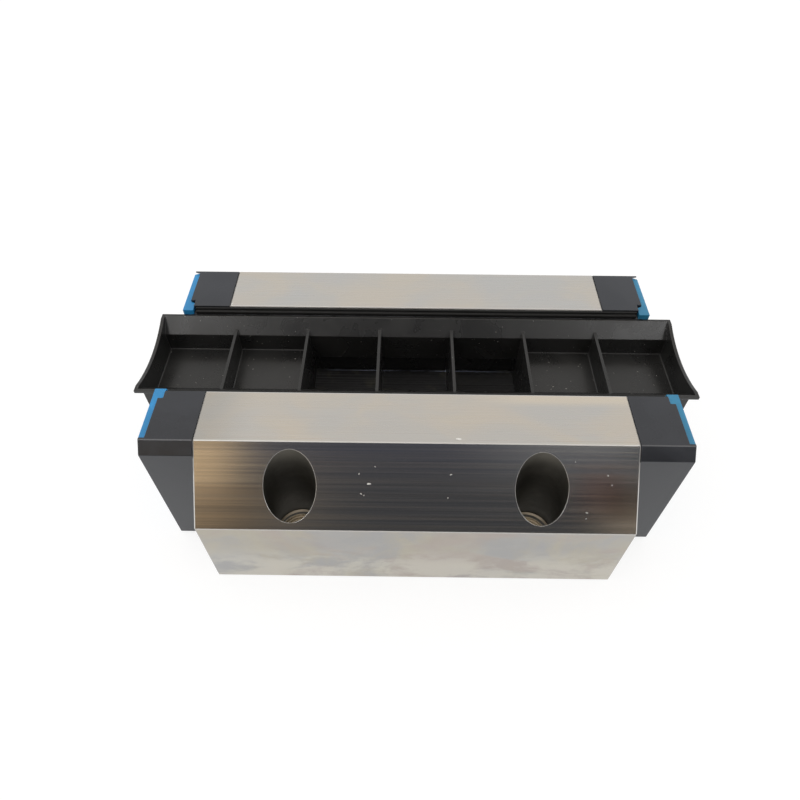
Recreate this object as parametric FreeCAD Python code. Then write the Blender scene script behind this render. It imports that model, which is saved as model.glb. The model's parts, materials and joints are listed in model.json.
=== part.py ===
import FreeCAD, Part
import os
from math import cos, hypot, pi, sin, sqrt

V = FreeCAD.Vector

# Runner block of a roller profile rail, lying on its mounting face with its legs up.
# X runs along the rail, Y across it, Z up from the mounting face. All sizes in millimetres.

# Steel block
block_length = 194.5
flange_width = 170.0
block_height = 76.0
flange_side = 48.0          # height of the upright side of the flange
edge_break = 0.7            # chamfer round the ends and along the lower edges

# Fastening holes, threaded from the mounting face up
hole_pitch = 110.0          # along X
hole_edge = 14.0            # from the flange side to the hole's axis
plain_bore = 23.0           # wider bore over the thread
thread_core = 21.0          # core bore of the thread
thread_height = 21.0        # how far the thread reaches up
core_mouth = 1.5            # countersink at the mounting face

# Rail section: flat sides with a 45 degree groove in each
rail_width = 53.0
groove_waist = 14.4         # flat at the bottom of the groove
head_side = 9.8             # flat side of the rail's head
rim_side = 1.55             # flat side between the groove and the transport rail's rim
rim_drop = 3.75             # from the legs' face down to that rim
slide_gap = 0.35            # running gap round the rail
head_gap = 2.0              # from the rail's head to the slot's roof
leg_gap = 2.6               # from the rail's side to the slot's side

# Rollers, leaning at 45 degrees
roller_diameter = 7.0
roller_length = 8.6
roller_gap = 0.25           # between neighbours in a row
roller_play = 0.1           # to the raceway
end_play = 0.15             # to the strips that hold the roller's ends
flank_margin = 0.3          # of the rail's flank past the roller's ends

# Retaining strips and side seals
fit = 0.1                   # gap between pieces that fit into each other
strip_hold = 1.1            # strip behind the roller's end
nose_width = 4.0            # flat on the steel nose between two rows
foot_width = 1.8            # foot of the middle strip
foot_depth = 2.6
leg_lip = 1.4               # steel lip over the side seal
seal_height = 2.6
seal_sink = 0.6             # seal's upper edge below the legs' face
seal_step = 1.2
seal_stop = 1.2             # open end between the seal and the wiper's tab

# Return tubes and turns
channel_play = 0.25         # round a roller in its passage
tube_wall = 0.6
bore_web = 1.2              # steel between the two return bores of a leg
cross_wall = 0.8            # between two crossing passages
turn_inset = 5.0            # how far the inner turn starts inside the steel
guide_wall = 0.8

# End caps and wipers
cap_shoulder = 5.0          # cap's side stands out from the leg's outer edge
cap_foot = 1.5              # cap's lower edge over the mounting face
cap_wall = 0.9
wiper_thickness = 3.2
wiper_proud = 0.7           # wiper's face stands out from the cap's
wiper_rim = 1.3             # cap wall round the wiper
wiper_sink = 1.2            # wiper's edge below the legs' face
wiper_tab = 5.5             # depth of the tab at the slot
tab_width = 3.1             # tab's straight reach past the slot's side
tab_slope = 0.9             # slanted reach from there to the plate
tab_relief = 0.3            # gap in the cap beside the tab

# End cap screws and lubrication plugs
screw_size = 6.0
screw_length = 34.0
screw_head = 10.0
head_height = 4.0
screw_socket = 4.0          # across corners
socket_depth = 2.2
bridge_screw = 45.0         # from the middle to the lower screws
plug_size = 8.0
plug_length = 8.0

# Transport rail
tray_length = 265.4
tray_wall = 1.7
rim_land = 1.3
end_dip = 4.0               # hollow in the end wall's upper edge
dip_width = 46.0
divider_pitch = 37.4
divider_count = 6
divider_thickness = 1.5
divider_rise = 2.5          # divider's top over the flare's lower edge
floor_sink = 10.4           # floor's top below the flare's lower edge
floor_thickness = 1.6
floored_bays = 2            # bays with a floor at each end

# Rollers, screws and plugs repeat so often that they get flat sides instead of round ones
few_sides = 10

# Worked-out places
lean = sqrt(0.5)
block_end = block_length / 2
flange_half = flange_width / 2
leg_outer = flange_half - (block_height - flange_side)
rail_half = rail_width / 2
slot_half = rail_half + leg_gap
roller_radius = roller_diameter / 2
waist_half = groove_waist / 2
groove_depth = (roller_length + 2 * flank_margin) * lean
waist = rail_half - groove_depth
rim_height = block_height - rim_drop
groove_middle = rim_height - rim_side - groove_depth - waist_half
rail_top = groove_middle - waist_half - groove_depth - head_side
slot_roof = rail_top - head_gap

# Middle of a row, measured from the middle of the groove
row_stand = (roller_radius + slide_gap) * lean
row_y = rail_half - groove_depth / 2 + row_stand
row_rise = waist_half + groove_depth / 2 - row_stand

# Raceway on the steel nose: y = race_line + height over the groove's middle
race_line = row_y - row_rise + 2 * (roller_radius + roller_play) * lean
nose_half = nose_width / 2
nose_y = race_line + nose_half
end_hold = roller_length / 2 + end_play
strip_wall = row_y + (roller_radius + roller_play + roller_length / 2) * lean + strip_hold
lip_height = block_height - leg_lip
seal_floor = lip_height - seal_height

# Passage round the rollers and its turn
channel_half = roller_radius + channel_play
channel_width = roller_length / 2 + channel_play
tube_radius = hypot(channel_half, channel_width) + tube_wall
bore_radius = tube_radius + fit
return_step = (bore_radius + bore_web / 2 + row_rise) / lean
turn_radius = return_step / 2
return_y = row_y + return_step * lean
turn_outer = turn_radius + channel_half
turn_inner = turn_radius - channel_half
inner_start = block_end - turn_inset
outer_start = inner_start + turn_outer - sqrt(turn_inner ** 2 - channel_width ** 2) + cross_wall
guide_end = outer_start + turn_outer + guide_wall
guide_side = return_y + tube_radius + guide_wall

# End cap
cap_half = leg_outer + cap_shoulder
wiper_seat = guide_end + fit + cap_wall
wiper_end = wiper_seat + wiper_thickness
cap_end = wiper_end - wiper_proud
tab_start = wiper_end - wiper_tab
tab_side = slot_half + tab_width
tab_root = tab_side + tab_slope
wiper_top = block_height - wiper_sink
screw_radius = screw_size / 2
head_radius = screw_head / 2
leg_screw = guide_side + head_radius + 2 * fit + guide_wall
screw_places = [(leg_screw, groove_middle), (bridge_screw, slot_roof / 2)]
screw_top = cap_end - fit
plug_place = (0, slot_roof / 2)

ends = {"left": -1, "right": 1}
legs = {"near": -1, "far": 1}


def prism(points, x0, x1):
    """Solid along X over a closed outline of (y, z) points."""
    ring = [V(x0, y, z) for y, z in points]
    return Part.Face(Part.makePolygon(ring + ring[:1])).extrude(V(x1 - x0, 0, 0))


def long_prism(points, half_length):
    """Prism that reaches as far to the left as to the right."""
    return prism(points, -half_length, half_length)


def mirrored(points):
    """Close a right-hand outline of (y, z) points with its mirror image."""
    return points + [(-y, z) for y, z in reversed(points)]


def upright(points, z0, z1):
    """Solid along Z over a closed outline of (x, y) points."""
    ring = [V(x, y, z0) for x, y in points]
    return Part.Face(Part.makePolygon(ring + ring[:1])).extrude(V(0, 0, z1 - z0))


def box(x0, x1, y0, y1, z0, z1):
    return Part.makeBox(x1 - x0, y1 - y0, z1 - z0, V(x0, y0, z0))


def rod(radius, x0, x1, place):
    """Round bar along X at a (y, z) place."""
    return Part.makeCylinder(radius, x1 - x0, V(x0, *place), V(1, 0, 0))


def small_rod(radius, foot, along):
    """Bar of few flat sides from a foot point, with its corners on the radius."""
    side = V(1, 0, 0) if along.x == 0 else V(0, 1, 0)
    other = along.cross(side).normalize()
    ring = []
    for i in range(few_sides):
        angle = 2 * pi * i / few_sides
        ring.append(foot + other * (radius * cos(angle)) + side * (radius * sin(angle)))
    return Part.Face(Part.makePolygon(ring + ring[:1])).extrude(along)


def small_bar(radius, x0, x1, place):
    """Bar of few flat sides along X at a (y, z) place."""
    return small_rod(radius, V(x0, *place), V(x1 - x0, 0, 0))


def flip(shape, end=1, leg=1):
    """Mirror a piece of the right end and far leg to another end and leg."""
    if end < 0:
        shape = shape.mirror(V(0, 0, 0), V(1, 0, 0))
    if leg < 0:
        shape = shape.mirror(V(0, 0, 0), V(0, 1, 0))
    return shape


def all_corners(shape):
    """The piece at both ends of both legs."""
    return [flip(shape, end, leg) for end in ends.values() for leg in legs.values()]


def above(rise):
    """Height of a point that lies so far over the groove's middle."""
    return groove_middle + rise


def across(row, depth, width):
    """Point (y, z) beside a row: depth away from the rail, width along the roller.

    row is 1 for the row by the legs' face and -1 for the row by the slot's roof.
    """
    return (row_y + lean * (depth + width), above(row * (row_rise + lean * (width - depth))))


def rail_side(gap, low, high):
    """Right side of the rail's section, moved out by a gap, from a low to a high end."""
    corner = waist_half + groove_depth - gap * (sqrt(2) - 1)
    bottom = waist_half - gap * (sqrt(2) - 1)
    return [
        (rail_half + gap, low),
        (rail_half + gap, above(-corner)),
        (waist + gap, above(-bottom)),
        (waist + gap, above(bottom)),
        (rail_half + gap, above(corner)),
        (rail_half + gap, high),
    ]


def channel(row, start):
    """Passage of one circuit at the right end of the far leg: in, round and back."""
    entry = inner_start - fit

    def at(x, depth):
        return V(x, *across(row, depth, -channel_width))

    middle = turn_radius
    back = return_step
    edges = [
        Part.makeLine(at(entry, -channel_half), at(start, -channel_half)),
        Part.Arc(
            at(start, -channel_half),
            at(start + turn_outer, middle),
            at(start, back + channel_half),
        ).toShape(),
        Part.makeLine(at(start, back + channel_half), at(entry, back + channel_half)),
        Part.makeLine(at(entry, back + channel_half), at(entry, back - channel_half)),
        Part.makeLine(at(entry, back - channel_half), at(start, back - channel_half)),
        Part.Arc(
            at(start, back - channel_half),
            at(start + turn_inner, middle),
            at(start, channel_half),
        ).toShape(),
        Part.makeLine(at(start, channel_half), at(entry, channel_half)),
        Part.makeLine(at(entry, channel_half), at(entry, -channel_half)),
    ]
    along = V(0, lean, row * lean) * (2 * channel_width)
    return Part.Face(Part.Wire(edges)).extrude(along)


def runner_block():
    """Steel body: trapezoid outside, rail slot with raceway noses inside."""
    groove_low = 2 * groove_middle - lip_height
    half = [
        (flange_half - edge_break, 0),
        (flange_half, edge_break),
        (flange_half, flange_side),
        (leg_outer, block_height),
        (slot_half, block_height),
        (slot_half, lip_height),
        (strip_wall, lip_height),
        (strip_wall, above(strip_wall - race_line)),
        (nose_y, above(nose_half)),
        (nose_y, above(-nose_half)),
        (strip_wall, above(race_line - strip_wall)),
        (strip_wall, groove_low),
        (slot_half, groove_low),
        (slot_half, slot_roof),
    ]
    body = long_prism(mirrored(half), block_end)
    rim = [e for e in body.Edges if on_end_outline(e)]
    body = body.makeChamfer(edge_break, rim)

    tools = []
    foot = foot_width / 2 + fit
    slot = box(-block_end, block_end, nose_y - fit, nose_y + foot_depth, above(-foot), above(foot))
    tools += [slot, flip(slot, leg=-1)]
    tools += all_corners(fastening_hole())
    for place in [return_place(1), return_place(-1)]:
        bore = rod(bore_radius, -block_end, block_end, place)
        tools += [bore, flip(bore, leg=-1)]
    tools += all_corners(channel(-1, inner_start))
    for place in screw_places:
        tools += all_corners(
            small_bar(screw_radius + fit, screw_top - screw_length - fit, block_end, place))
    return body.cut(tools)


def on_end_outline(edge):
    """True for the outer edges of the block's two end faces."""
    if edge.BoundBox.XLength > fit:
        return False
    middle = edge.CenterOfMass
    inside_slot = abs(middle.y) < leg_outer - fit and slot_roof - fit < middle.z < block_height - fit
    return not inside_slot


def return_place(row):
    """Middle (y, z) of a row's return bore."""
    return across(row, return_step, 0)


def fastening_hole():
    """Room for a threaded hole at the right end of the far leg, with a wider bore over it."""
    x = hole_pitch / 2
    y = flange_half - hole_edge
    up = V(0, 0, 1)
    core = thread_core / 2
    plain = Part.makeCylinder(plain_bore / 2, block_height, V(x, y, thread_height), up)
    bore = Part.makeCylinder(core, thread_height, V(x, y, 0), up)
    mouth = Part.makeCone(core + core_mouth, core, core_mouth, V(x, y, 0), up)
    return plain.fuse([bore, mouth])


def roller_row(row, start):
    """Loaded rollers of the far leg, spread evenly between the two turns."""
    pitch = roller_diameter + roller_gap
    count = int(2 * start // pitch)
    lie = V(0, lean, row * lean) * roller_length
    rollers = []
    for i in range(count):
        x = (i - (count - 1) / 2) * pitch
        foot = V(x, *across(row, 0, -roller_length / 2))
        rollers.append(small_rod(roller_radius, foot, lie))
    return Part.makeCompound(rollers)


def return_tube(row, start):
    """Tube in a return bore, round outside, with a passage of the roller's shape."""
    tube = rod(tube_radius, -block_end, block_end, return_place(row))
    corners = [(-1, -1), (1, -1), (1, 1), (-1, 1)]
    passage = [
        across(row, return_step + side * channel_half, end * channel_width) for side, end in corners
    ]
    tools = [long_prism(passage, block_end)]
    if start < block_end:
        turn = channel(row, start)
        tools += [turn, flip(turn, end=-1)]
    return tube.cut(tools)


def outer_strip(row, far_end):
    """Strip in the groove beside a raceway, behind the rollers' outer ends."""
    inner = rail_half + slide_gap
    outer = strip_wall - fit
    heel = across(row, roller_radius, end_hold)
    root = (outer - heel[0]) * row
    toe = (inner - row_y) / lean - end_hold
    outline = [
        heel,
        (outer, heel[1] + root),
        (outer, far_end - row * fit),
        (inner, far_end - row * fit),
        across(row, toe, end_hold),
    ]
    return long_prism(outline, block_end)


def middle_strip():
    """Strip on the nose between two rows, held by a foot in the steel."""
    back = nose_y - fit
    front = waist + slide_gap
    slant = row_y + row_rise - 2 * lean * end_hold
    foot = foot_width / 2
    half = [
        (front, slant - front),
        (back, slant - back),
        (back, foot),
        (back + foot_depth, foot),
    ]
    outline = [(y, above(rise)) for y, rise in half]
    outline += [(y, above(-rise)) for y, rise in reversed(half)]
    return long_prism(outline, block_end)


def side_seal():
    """Seal strip under the leg's lip, with a stepped edge towards the rail."""
    lip = rail_half + slide_gap
    upper = block_height - seal_sink
    outline = [
        (strip_wall - fit, seal_floor),
        (strip_wall - fit, lip_height - fit),
        (slot_half - fit, lip_height - fit),
        (slot_half - fit, upper),
        (slot_half - fit - seal_step, upper),
        (slot_half - fit - seal_step, upper - seal_step),
        (lip, upper - seal_step - (slot_half - fit - seal_step - lip) / 2),
        (lip, seal_floor),
    ]
    return long_prism(outline, tab_start - seal_stop)


def guide_outline(gap):
    """Outline of the return guide's block, moved out by a gap away from the rail."""
    half = seal_floor - groove_middle - fit + gap
    inner = rail_side(slide_gap + fit, above(-half), above(half))
    return inner + [(guide_side + gap, above(half)), (guide_side + gap, above(-half))]


def return_guide():
    """Guide for the right end of the far leg: its two passages cross without meeting."""
    guide = prism(guide_outline(0), block_end, guide_end)
    return guide.cut([channel(-1, inner_start), channel(1, outer_start)])


def cap_outline():
    return mirrored([
        (cap_half, cap_foot),
        (cap_half, block_height - cap_shoulder),
        (leg_outer, block_height),
        (slot_half, block_height),
        (slot_half, slot_roof),
    ])


def wiper_outline(rim, top):
    """Right side of the wiper's plate: the cap's outline, less a rim, up to a top height."""
    side = cap_half - rim
    shoulder = block_height - cap_shoulder
    return [(side, cap_foot + rim), (side, shoulder), (side - top + shoulder, top)]


def end_cap():
    """Cap at the right end, with pockets for the guides and a seat for the wiper."""
    cap = prism(cap_outline(), block_end, cap_end)
    pocket_end = guide_end + fit
    pocket = prism(guide_outline(fit), block_end, pocket_end)
    seal_room = box(
        block_end, cap_end, slot_half - fit, strip_wall, seal_floor - fit, lip_height)
    tab_room = box(
        tab_start - fit, cap_end, slot_half - fit, tab_root + tab_relief,
        seal_floor - fit, block_height)
    tools = [prism(mirrored(wiper_outline(wiper_rim, block_height)), wiper_seat, cap_end)]
    for tool in [pocket, seal_room, tab_room]:
        tools += [tool, flip(tool, leg=-1)]
    for place in screw_places:
        shank = small_bar(screw_radius + fit, block_end, cap_end, place)
        head = small_bar(head_radius + fit, screw_top - head_height, cap_end, place)
        tools += [shank, head, flip(shank, leg=-1), flip(head, leg=-1)]
    tools.append(small_bar(plug_size / 2 + fit, block_end, cap_end, plug_place))
    return cap.cut(tools)


def wiper():
    """Wiper plate at the right end, shaped to the rail, with a tab at each leg."""
    plate = prism(mirrored(wiper_outline(wiper_rim + fit, wiper_top)), wiper_seat, wiper_end)
    lip = rail_half + slide_gap
    tab_outline = [
        (wiper_end, lip),
        (tab_start, lip),
        (tab_start, tab_side),
        (wiper_seat, tab_root),
        (wiper_end, tab_root),
    ]
    tab = upright(tab_outline, seal_floor, wiper_top)
    plate = plate.fuse([tab, flip(tab, leg=-1)])
    opening = mirrored(rail_side(slide_gap, rail_top - slide_gap, block_height))
    tools = [prism(opening, tab_start, wiper_end)]
    for place in screw_places:
        hole = small_bar(head_radius + 2 * fit, wiper_seat, wiper_end, place)
        tools += [hole, flip(hole, leg=-1)]
    tools.append(small_bar(plug_size / 2 + fit, wiper_seat, wiper_end, plug_place))
    return plate.cut(tools).removeSplitter()


def socket(radius, top, depth, place):
    """Room for a hexagon key in a screw's head."""
    hexagon = [
        (place[0] + radius, place[1]),
        (place[0] + radius / 2, place[1] + radius * sqrt(3) / 2),
        (place[0] - radius / 2, place[1] + radius * sqrt(3) / 2),
        (place[0] - radius, place[1]),
        (place[0] - radius / 2, place[1] - radius * sqrt(3) / 2),
        (place[0] + radius / 2, place[1] - radius * sqrt(3) / 2),
    ]
    return prism(hexagon, top - depth, top)


def cap_screws():
    """All screws that hold the two caps to the steel."""
    screws = []
    for place in screw_places:
        shank = small_bar(screw_radius, screw_top - screw_length, screw_top - head_height, place)
        head = small_bar(head_radius, screw_top - head_height, screw_top, place)
        screw = head.fuse(shank).cut(socket(screw_socket / 2, screw_top, socket_depth, place))
        screws += all_corners(screw)
    return Part.makeCompound(screws)


def port_plugs():
    """Plug in the lubrication port of each cap."""
    plug = small_bar(plug_size / 2, screw_top - plug_length, screw_top, plug_place)
    plug = plug.cut(socket(screw_socket / 2, screw_top, socket_depth, plug_place))
    return Part.makeCompound([plug, flip(plug, end=-1)])


def transport_rail():
    """Moulded tray with the rail's section, flared sides, dividers and floors at its ends."""
    tray_end = tray_length / 2
    rim_inner = rail_half - rim_land
    wall_inner = waist - tray_wall
    flare = rim_inner - wall_inner
    flare_foot = rim_height - flare
    end_inner = tray_end - tray_wall

    outer = long_prism(mirrored(rail_side(0, rail_top, rim_height)), tray_end)
    corner = waist_half + groove_depth
    foot_inner = rail_half - tray_wall
    inside = [
        (foot_inner, rail_top),
        (foot_inner, above(-corner)),
        (wall_inner, above(-corner) + foot_inner - wall_inner),
        (wall_inner, flare_foot),
        (rim_inner, rim_height),
    ]
    hollow = long_prism(mirrored(inside), end_inner)
    tray = outer.cut(hollow)

    ribs = []
    for i in range(divider_count):
        x = (i - (divider_count - 1) / 2) * divider_pitch
        half = divider_thickness / 2
        rib = box(x - half, x + half, -rail_half, rail_half, rail_top, flare_foot + divider_rise)
        ribs.append(rib.common(hollow))
    floor_top = flare_foot - floor_sink
    floor_start = (divider_count - 1) / 2 * divider_pitch - (floored_bays - 1) * divider_pitch
    floor = box(
        floor_start, end_inner, -wall_inner, wall_inner, floor_top - floor_thickness, floor_top)
    tray = tray.fuse(ribs + [floor, flip(floor, end=-1)]).removeSplitter()

    chord = dip_width / 2
    dip_radius = (chord ** 2 + end_dip ** 2) / (2 * end_dip)
    dip = rod(dip_radius, end_inner, tray_end, (0, rim_height - end_dip + dip_radius))
    return tray.cut([dip, flip(dip, end=-1)])


def build():
    pieces = {
        "runner_block": runner_block(),
        "cap_screws": cap_screws(),
        "port_plugs": port_plugs(),
        "transport_rail": transport_rail(),
    }
    cap = end_cap()
    blade = wiper()
    guide = return_guide()
    for end, sign in ends.items():
        pieces[f"end_cap_{end}"] = flip(cap, end=sign)
        pieces[f"wiper_{end}"] = flip(blade, end=sign)
        for leg, side in legs.items():
            pieces[f"return_guide_{end}_{leg}"] = flip(guide, sign, side)
    along_leg = {
        "roller_row_lower": roller_row(1, outer_start),
        "roller_row_upper": roller_row(-1, inner_start),
        "return_tube_lower": return_tube(1, outer_start),
        "return_tube_upper": return_tube(-1, inner_start),
        "lower_strip": outer_strip(1, seal_floor),
        "upper_strip": outer_strip(-1, 2 * groove_middle - lip_height),
        "middle_strip": middle_strip(),
        "side_seal": side_seal(),
    }
    for name, shape in along_leg.items():
        for leg, side in legs.items():
            pieces[f"{name}_{leg}"] = flip(shape, leg=side)
    return pieces


os.makedirs("parts", exist_ok=True)
for name, shape in build().items():
    shape.exportStep(f"parts/{name}.step")
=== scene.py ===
import json
import math

import bmesh
import bpy
from bpy.props import FloatProperty, FloatVectorProperty, IntProperty, PointerProperty
from mathutils import Matrix, Vector


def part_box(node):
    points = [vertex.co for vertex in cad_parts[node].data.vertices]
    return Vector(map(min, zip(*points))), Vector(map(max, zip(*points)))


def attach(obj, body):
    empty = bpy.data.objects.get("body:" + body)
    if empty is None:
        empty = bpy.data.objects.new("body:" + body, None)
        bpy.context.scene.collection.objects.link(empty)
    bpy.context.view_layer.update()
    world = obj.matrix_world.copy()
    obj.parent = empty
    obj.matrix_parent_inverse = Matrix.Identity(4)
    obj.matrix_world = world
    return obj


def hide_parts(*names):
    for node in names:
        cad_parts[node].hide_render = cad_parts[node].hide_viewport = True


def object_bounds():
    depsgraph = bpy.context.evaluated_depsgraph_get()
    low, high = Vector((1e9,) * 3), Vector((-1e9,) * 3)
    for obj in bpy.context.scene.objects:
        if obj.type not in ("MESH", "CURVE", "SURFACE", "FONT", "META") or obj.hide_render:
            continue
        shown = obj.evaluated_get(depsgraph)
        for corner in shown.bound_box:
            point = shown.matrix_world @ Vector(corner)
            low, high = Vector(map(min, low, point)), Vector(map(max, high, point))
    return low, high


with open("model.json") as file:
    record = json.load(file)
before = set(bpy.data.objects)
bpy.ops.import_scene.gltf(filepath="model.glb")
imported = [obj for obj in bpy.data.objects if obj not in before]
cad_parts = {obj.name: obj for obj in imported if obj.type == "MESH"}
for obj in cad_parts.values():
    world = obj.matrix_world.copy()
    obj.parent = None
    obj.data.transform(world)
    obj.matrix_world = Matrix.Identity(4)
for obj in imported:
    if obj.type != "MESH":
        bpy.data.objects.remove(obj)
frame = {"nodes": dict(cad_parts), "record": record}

bl_info = {
    "name": "Profile rail bearing",
    "version": (1, 0, 0),
    "blender": (4, 5, 0),
    "location": "3D View > Sidebar > Rail Bearing",
    "description": "Gives the runner block its ground steel, moulded plastics, threads and stage",
    "category": "Object",
}

NODES = frame["nodes"]
CAD_LOW, CAD_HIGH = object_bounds()
IMAGE_SIZE = 800
FLOOR_SIZE = 8.0

RUNNER = "runner"
TRAY = "tray"
MM = 0.001
LEAN = math.radians(45)
MERGE = 2e-6
FLAT = math.radians(0.6)
SHARP = math.radians(22)
SOFT = math.radians(35)
SOFT_THREAD = math.radians(30)
# Name of the face attribute for rubbed edges, whose finish paints them lighter: partly wear, partly a painted
# highlight.
WORN_AND_LIT = "worn_and_lit_edge"
FACING = "facing"

STEEL_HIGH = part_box("runner_block")[1]
HOLES = next(m for m in frame["record"]["mounts"] if m["name"] == "fastening_holes")["dims"]
HOLE_X = HOLES["spacing_x_mm"] * MM / 2
HOLE_Y = HOLES["spacing_y_mm"] * MM / 2
THREAD_BORE = HOLES["hole_r_mm"] * MM
FLANK_RUN = 28 * MM
FLANK_FOOT = STEEL_HIGH.z - FLANK_RUN

# Pale nicks on the steel, and as the last one a painted glint at the far leg's corner: millimetres along and
# across the block, and size beside the mean one.
NICKS_AND_GLINT = [
    (-20.4, -70.0, 1.9), (-24.7, -66.9, 0.9), (-23.8, -73.1, 1.0), (-22.6, -73.6, 0.7), (-17.8, -64.6, 0.7),
    (15.2, -66.8, 1.1), (14.1, -74.1, 0.8), (74.8, -78.2, 1.2), (74.5, -80.1, 0.7), (83.3, -66.5, 0.8),
    (85.2, -69.5, 0.6), (69.0, -62.4, 0.6), (18.5, -54.7, 2.6), (-96.3, 30.7, 1.6),
]


def colour(name, default, description, highest=1.0):
    """Property for a colour of a finish or of a light."""
    return FloatVectorProperty(
        name=name, description=description, default=default, subtype="COLOR", min=0.0, max=highest)


def length(name, millimetres, description):
    """Property for a length, given in millimetres."""
    return FloatProperty(
        name=name, description=description, default=millimetres * MM, unit="LENGTH", subtype="DISTANCE",
        min=0.0, precision=5)


def number(name, default, description, unit="NONE"):
    """Property for a plain number."""
    return FloatProperty(name=name, description=description, default=default, unit=unit)


def spot(name, default, description):
    """Property for a place in the scene."""
    return FloatVectorProperty(
        name=name, description=description, default=default, subtype="TRANSLATION", unit="LENGTH")


class RailBearingFinish(bpy.types.PropertyGroup):
    """Colours of the bearing's finishes, some with painted light and shade."""

    steel_cool: colour("Cool steel", (0.53, 0.525, 0.51), "Ground steel where it looks bluish")
    steel_warm: colour("Warm steel", (0.58, 0.54, 0.48), "Ground steel where it looks yellowish")
    flank_cool: colour("Cool flank", (0.455, 0.462, 0.485), "Slanted flank where it looks bluish")
    flank_warm: colour("Warm flank", (0.485, 0.465, 0.445), "Slanted flank where it looks brownish")
    # Golden colour at the flank's left end: partly an oil film, partly a painted warm reflection.
    gold_film_and_reflection: colour("Oil film", (0.70, 0.61, 0.48), "Golden film at the end of the flank")
    # Darker tint under the golden band: partly a brown film, partly painted shade.
    brown_film_and_shade: colour("Brown film", (0.88, 0.84, 0.80), "Tint of the flank under the golden film")
    rust: colour("Rust", (1.0, 0.80, 0.76), "Tint of the flank's other end")
    # Darkens the foot of the flank's right end.
    darker_foot: colour("Smoke", (0.70, 0.68, 0.66), "Tint of the foot of that end")
    groove: colour("Groove", (0.24, 0.23, 0.23), "Tint of the bottoms of the grinding lines")
    # Painted shade on the left end of the near leg's top.
    painted_end_shade: colour("Dull end", (0.84, 0.83, 0.81), "Tint of the left end of the near leg's top")
    # A painted yellowish sheen along the near leg's top by the slot.
    straw_sheen: colour("Straw edge", (0.65, 0.595, 0.51), "Yellowish edge of the near leg's top by the slot")
    # The bright edge colour is partly wear and partly a painted highlight on the rounded edges.
    edge: colour("Bright edge", (0.62, 0.61, 0.59), "Worn edges of the steel")
    stain_blue: colour("Bluish stain", (0.382, 0.381, 0.378), "Darker patches on the upright sides")
    stain_straw: colour("Straw stain", (0.445, 0.415, 0.350), "Lighter patches on the upright sides")
    stain_rose: colour("Rose stain", (0.415, 0.366, 0.335), "Reddish patches on the upright sides")
    # Pale patches, partly bloom on the steel and partly a painted sheen that lightens the bottom of the upright
    # sides.
    bloom_and_low_sheen: colour("Bloom", (0.575, 0.55, 0.49), "Pale patches low on the upright sides")
    # Dark bore walls: partly oil, partly painted shade inside the holes.
    bore: colour("Oiled bore", (0.095, 0.090, 0.078), "Dark wall of the fastening holes")
    slot: colour("Oiled slot", (0.046, 0.046, 0.047), "Dark oiled steel inside the rail slot")
    slot_dirt: colour("Dirt in the slot", (0.11, 0.105, 0.08), "Blotches of old oil inside the rail slot")
    slot_line: colour("Light in the slot", (0.30, 0.33, 0.42), "Light that falls in under the transport rail")
    # The thread's gold is partly a painted warm reflection.
    thread: colour("Cut thread", (0.46, 0.37, 0.25), "Bare metal of the threads")
    cap: colour("End cap", (0.016, 0.017, 0.021), "Moulded plastic of the end caps")
    # The cap edge colour is partly rubbing and partly a painted highlight.
    cap_rub_and_sheen: colour("Cap edge", (0.09, 0.09, 0.095), "Rubbed edges of the end caps")
    tray: colour("Transport rail", (0.013, 0.013, 0.0126), "Moulded plastic of the transport rail")
    # The tray edge colour is partly rubbing and partly a painted highlight.
    tray_rub_and_sheen: colour("Tray edge", (0.030, 0.030, 0.030), "Rubbed edges of the transport rail")
    # Dust specks, and lighter smears that are partly scuffs and partly a painted sheen.
    dust_and_sheen: colour("Dust", (0.30, 0.29, 0.27), "Specks of dust on the plastic")
    wiper_left: colour("Left wiper", (0.020, 0.225, 0.50), "Blue of the left wiper")
    # The right wiper's blue is painted darker: painted shade.
    wiper_right: colour("Right wiper", (0.026, 0.19, 0.34), "Duller blue of the right wiper")
    seal: colour("Side seal", (0.008, 0.008, 0.008), "Rubber of the side seals")
    guide: colour("Guide", (0.10, 0.10, 0.11), "Plastic of guides, tubes and strips")
    screw: colour("Screw", (0.06, 0.06, 0.065), "Black oxide of screws and plugs")
    roller: colour("Roller", (0.66, 0.66, 0.67), "Polished steel of the rollers")
    # Also the colour of the painted glint at the far leg's corner.
    nick_and_glint: colour("Nick", (0.90, 0.89, 0.86), "Bare metal where the steel was knocked")


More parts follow.
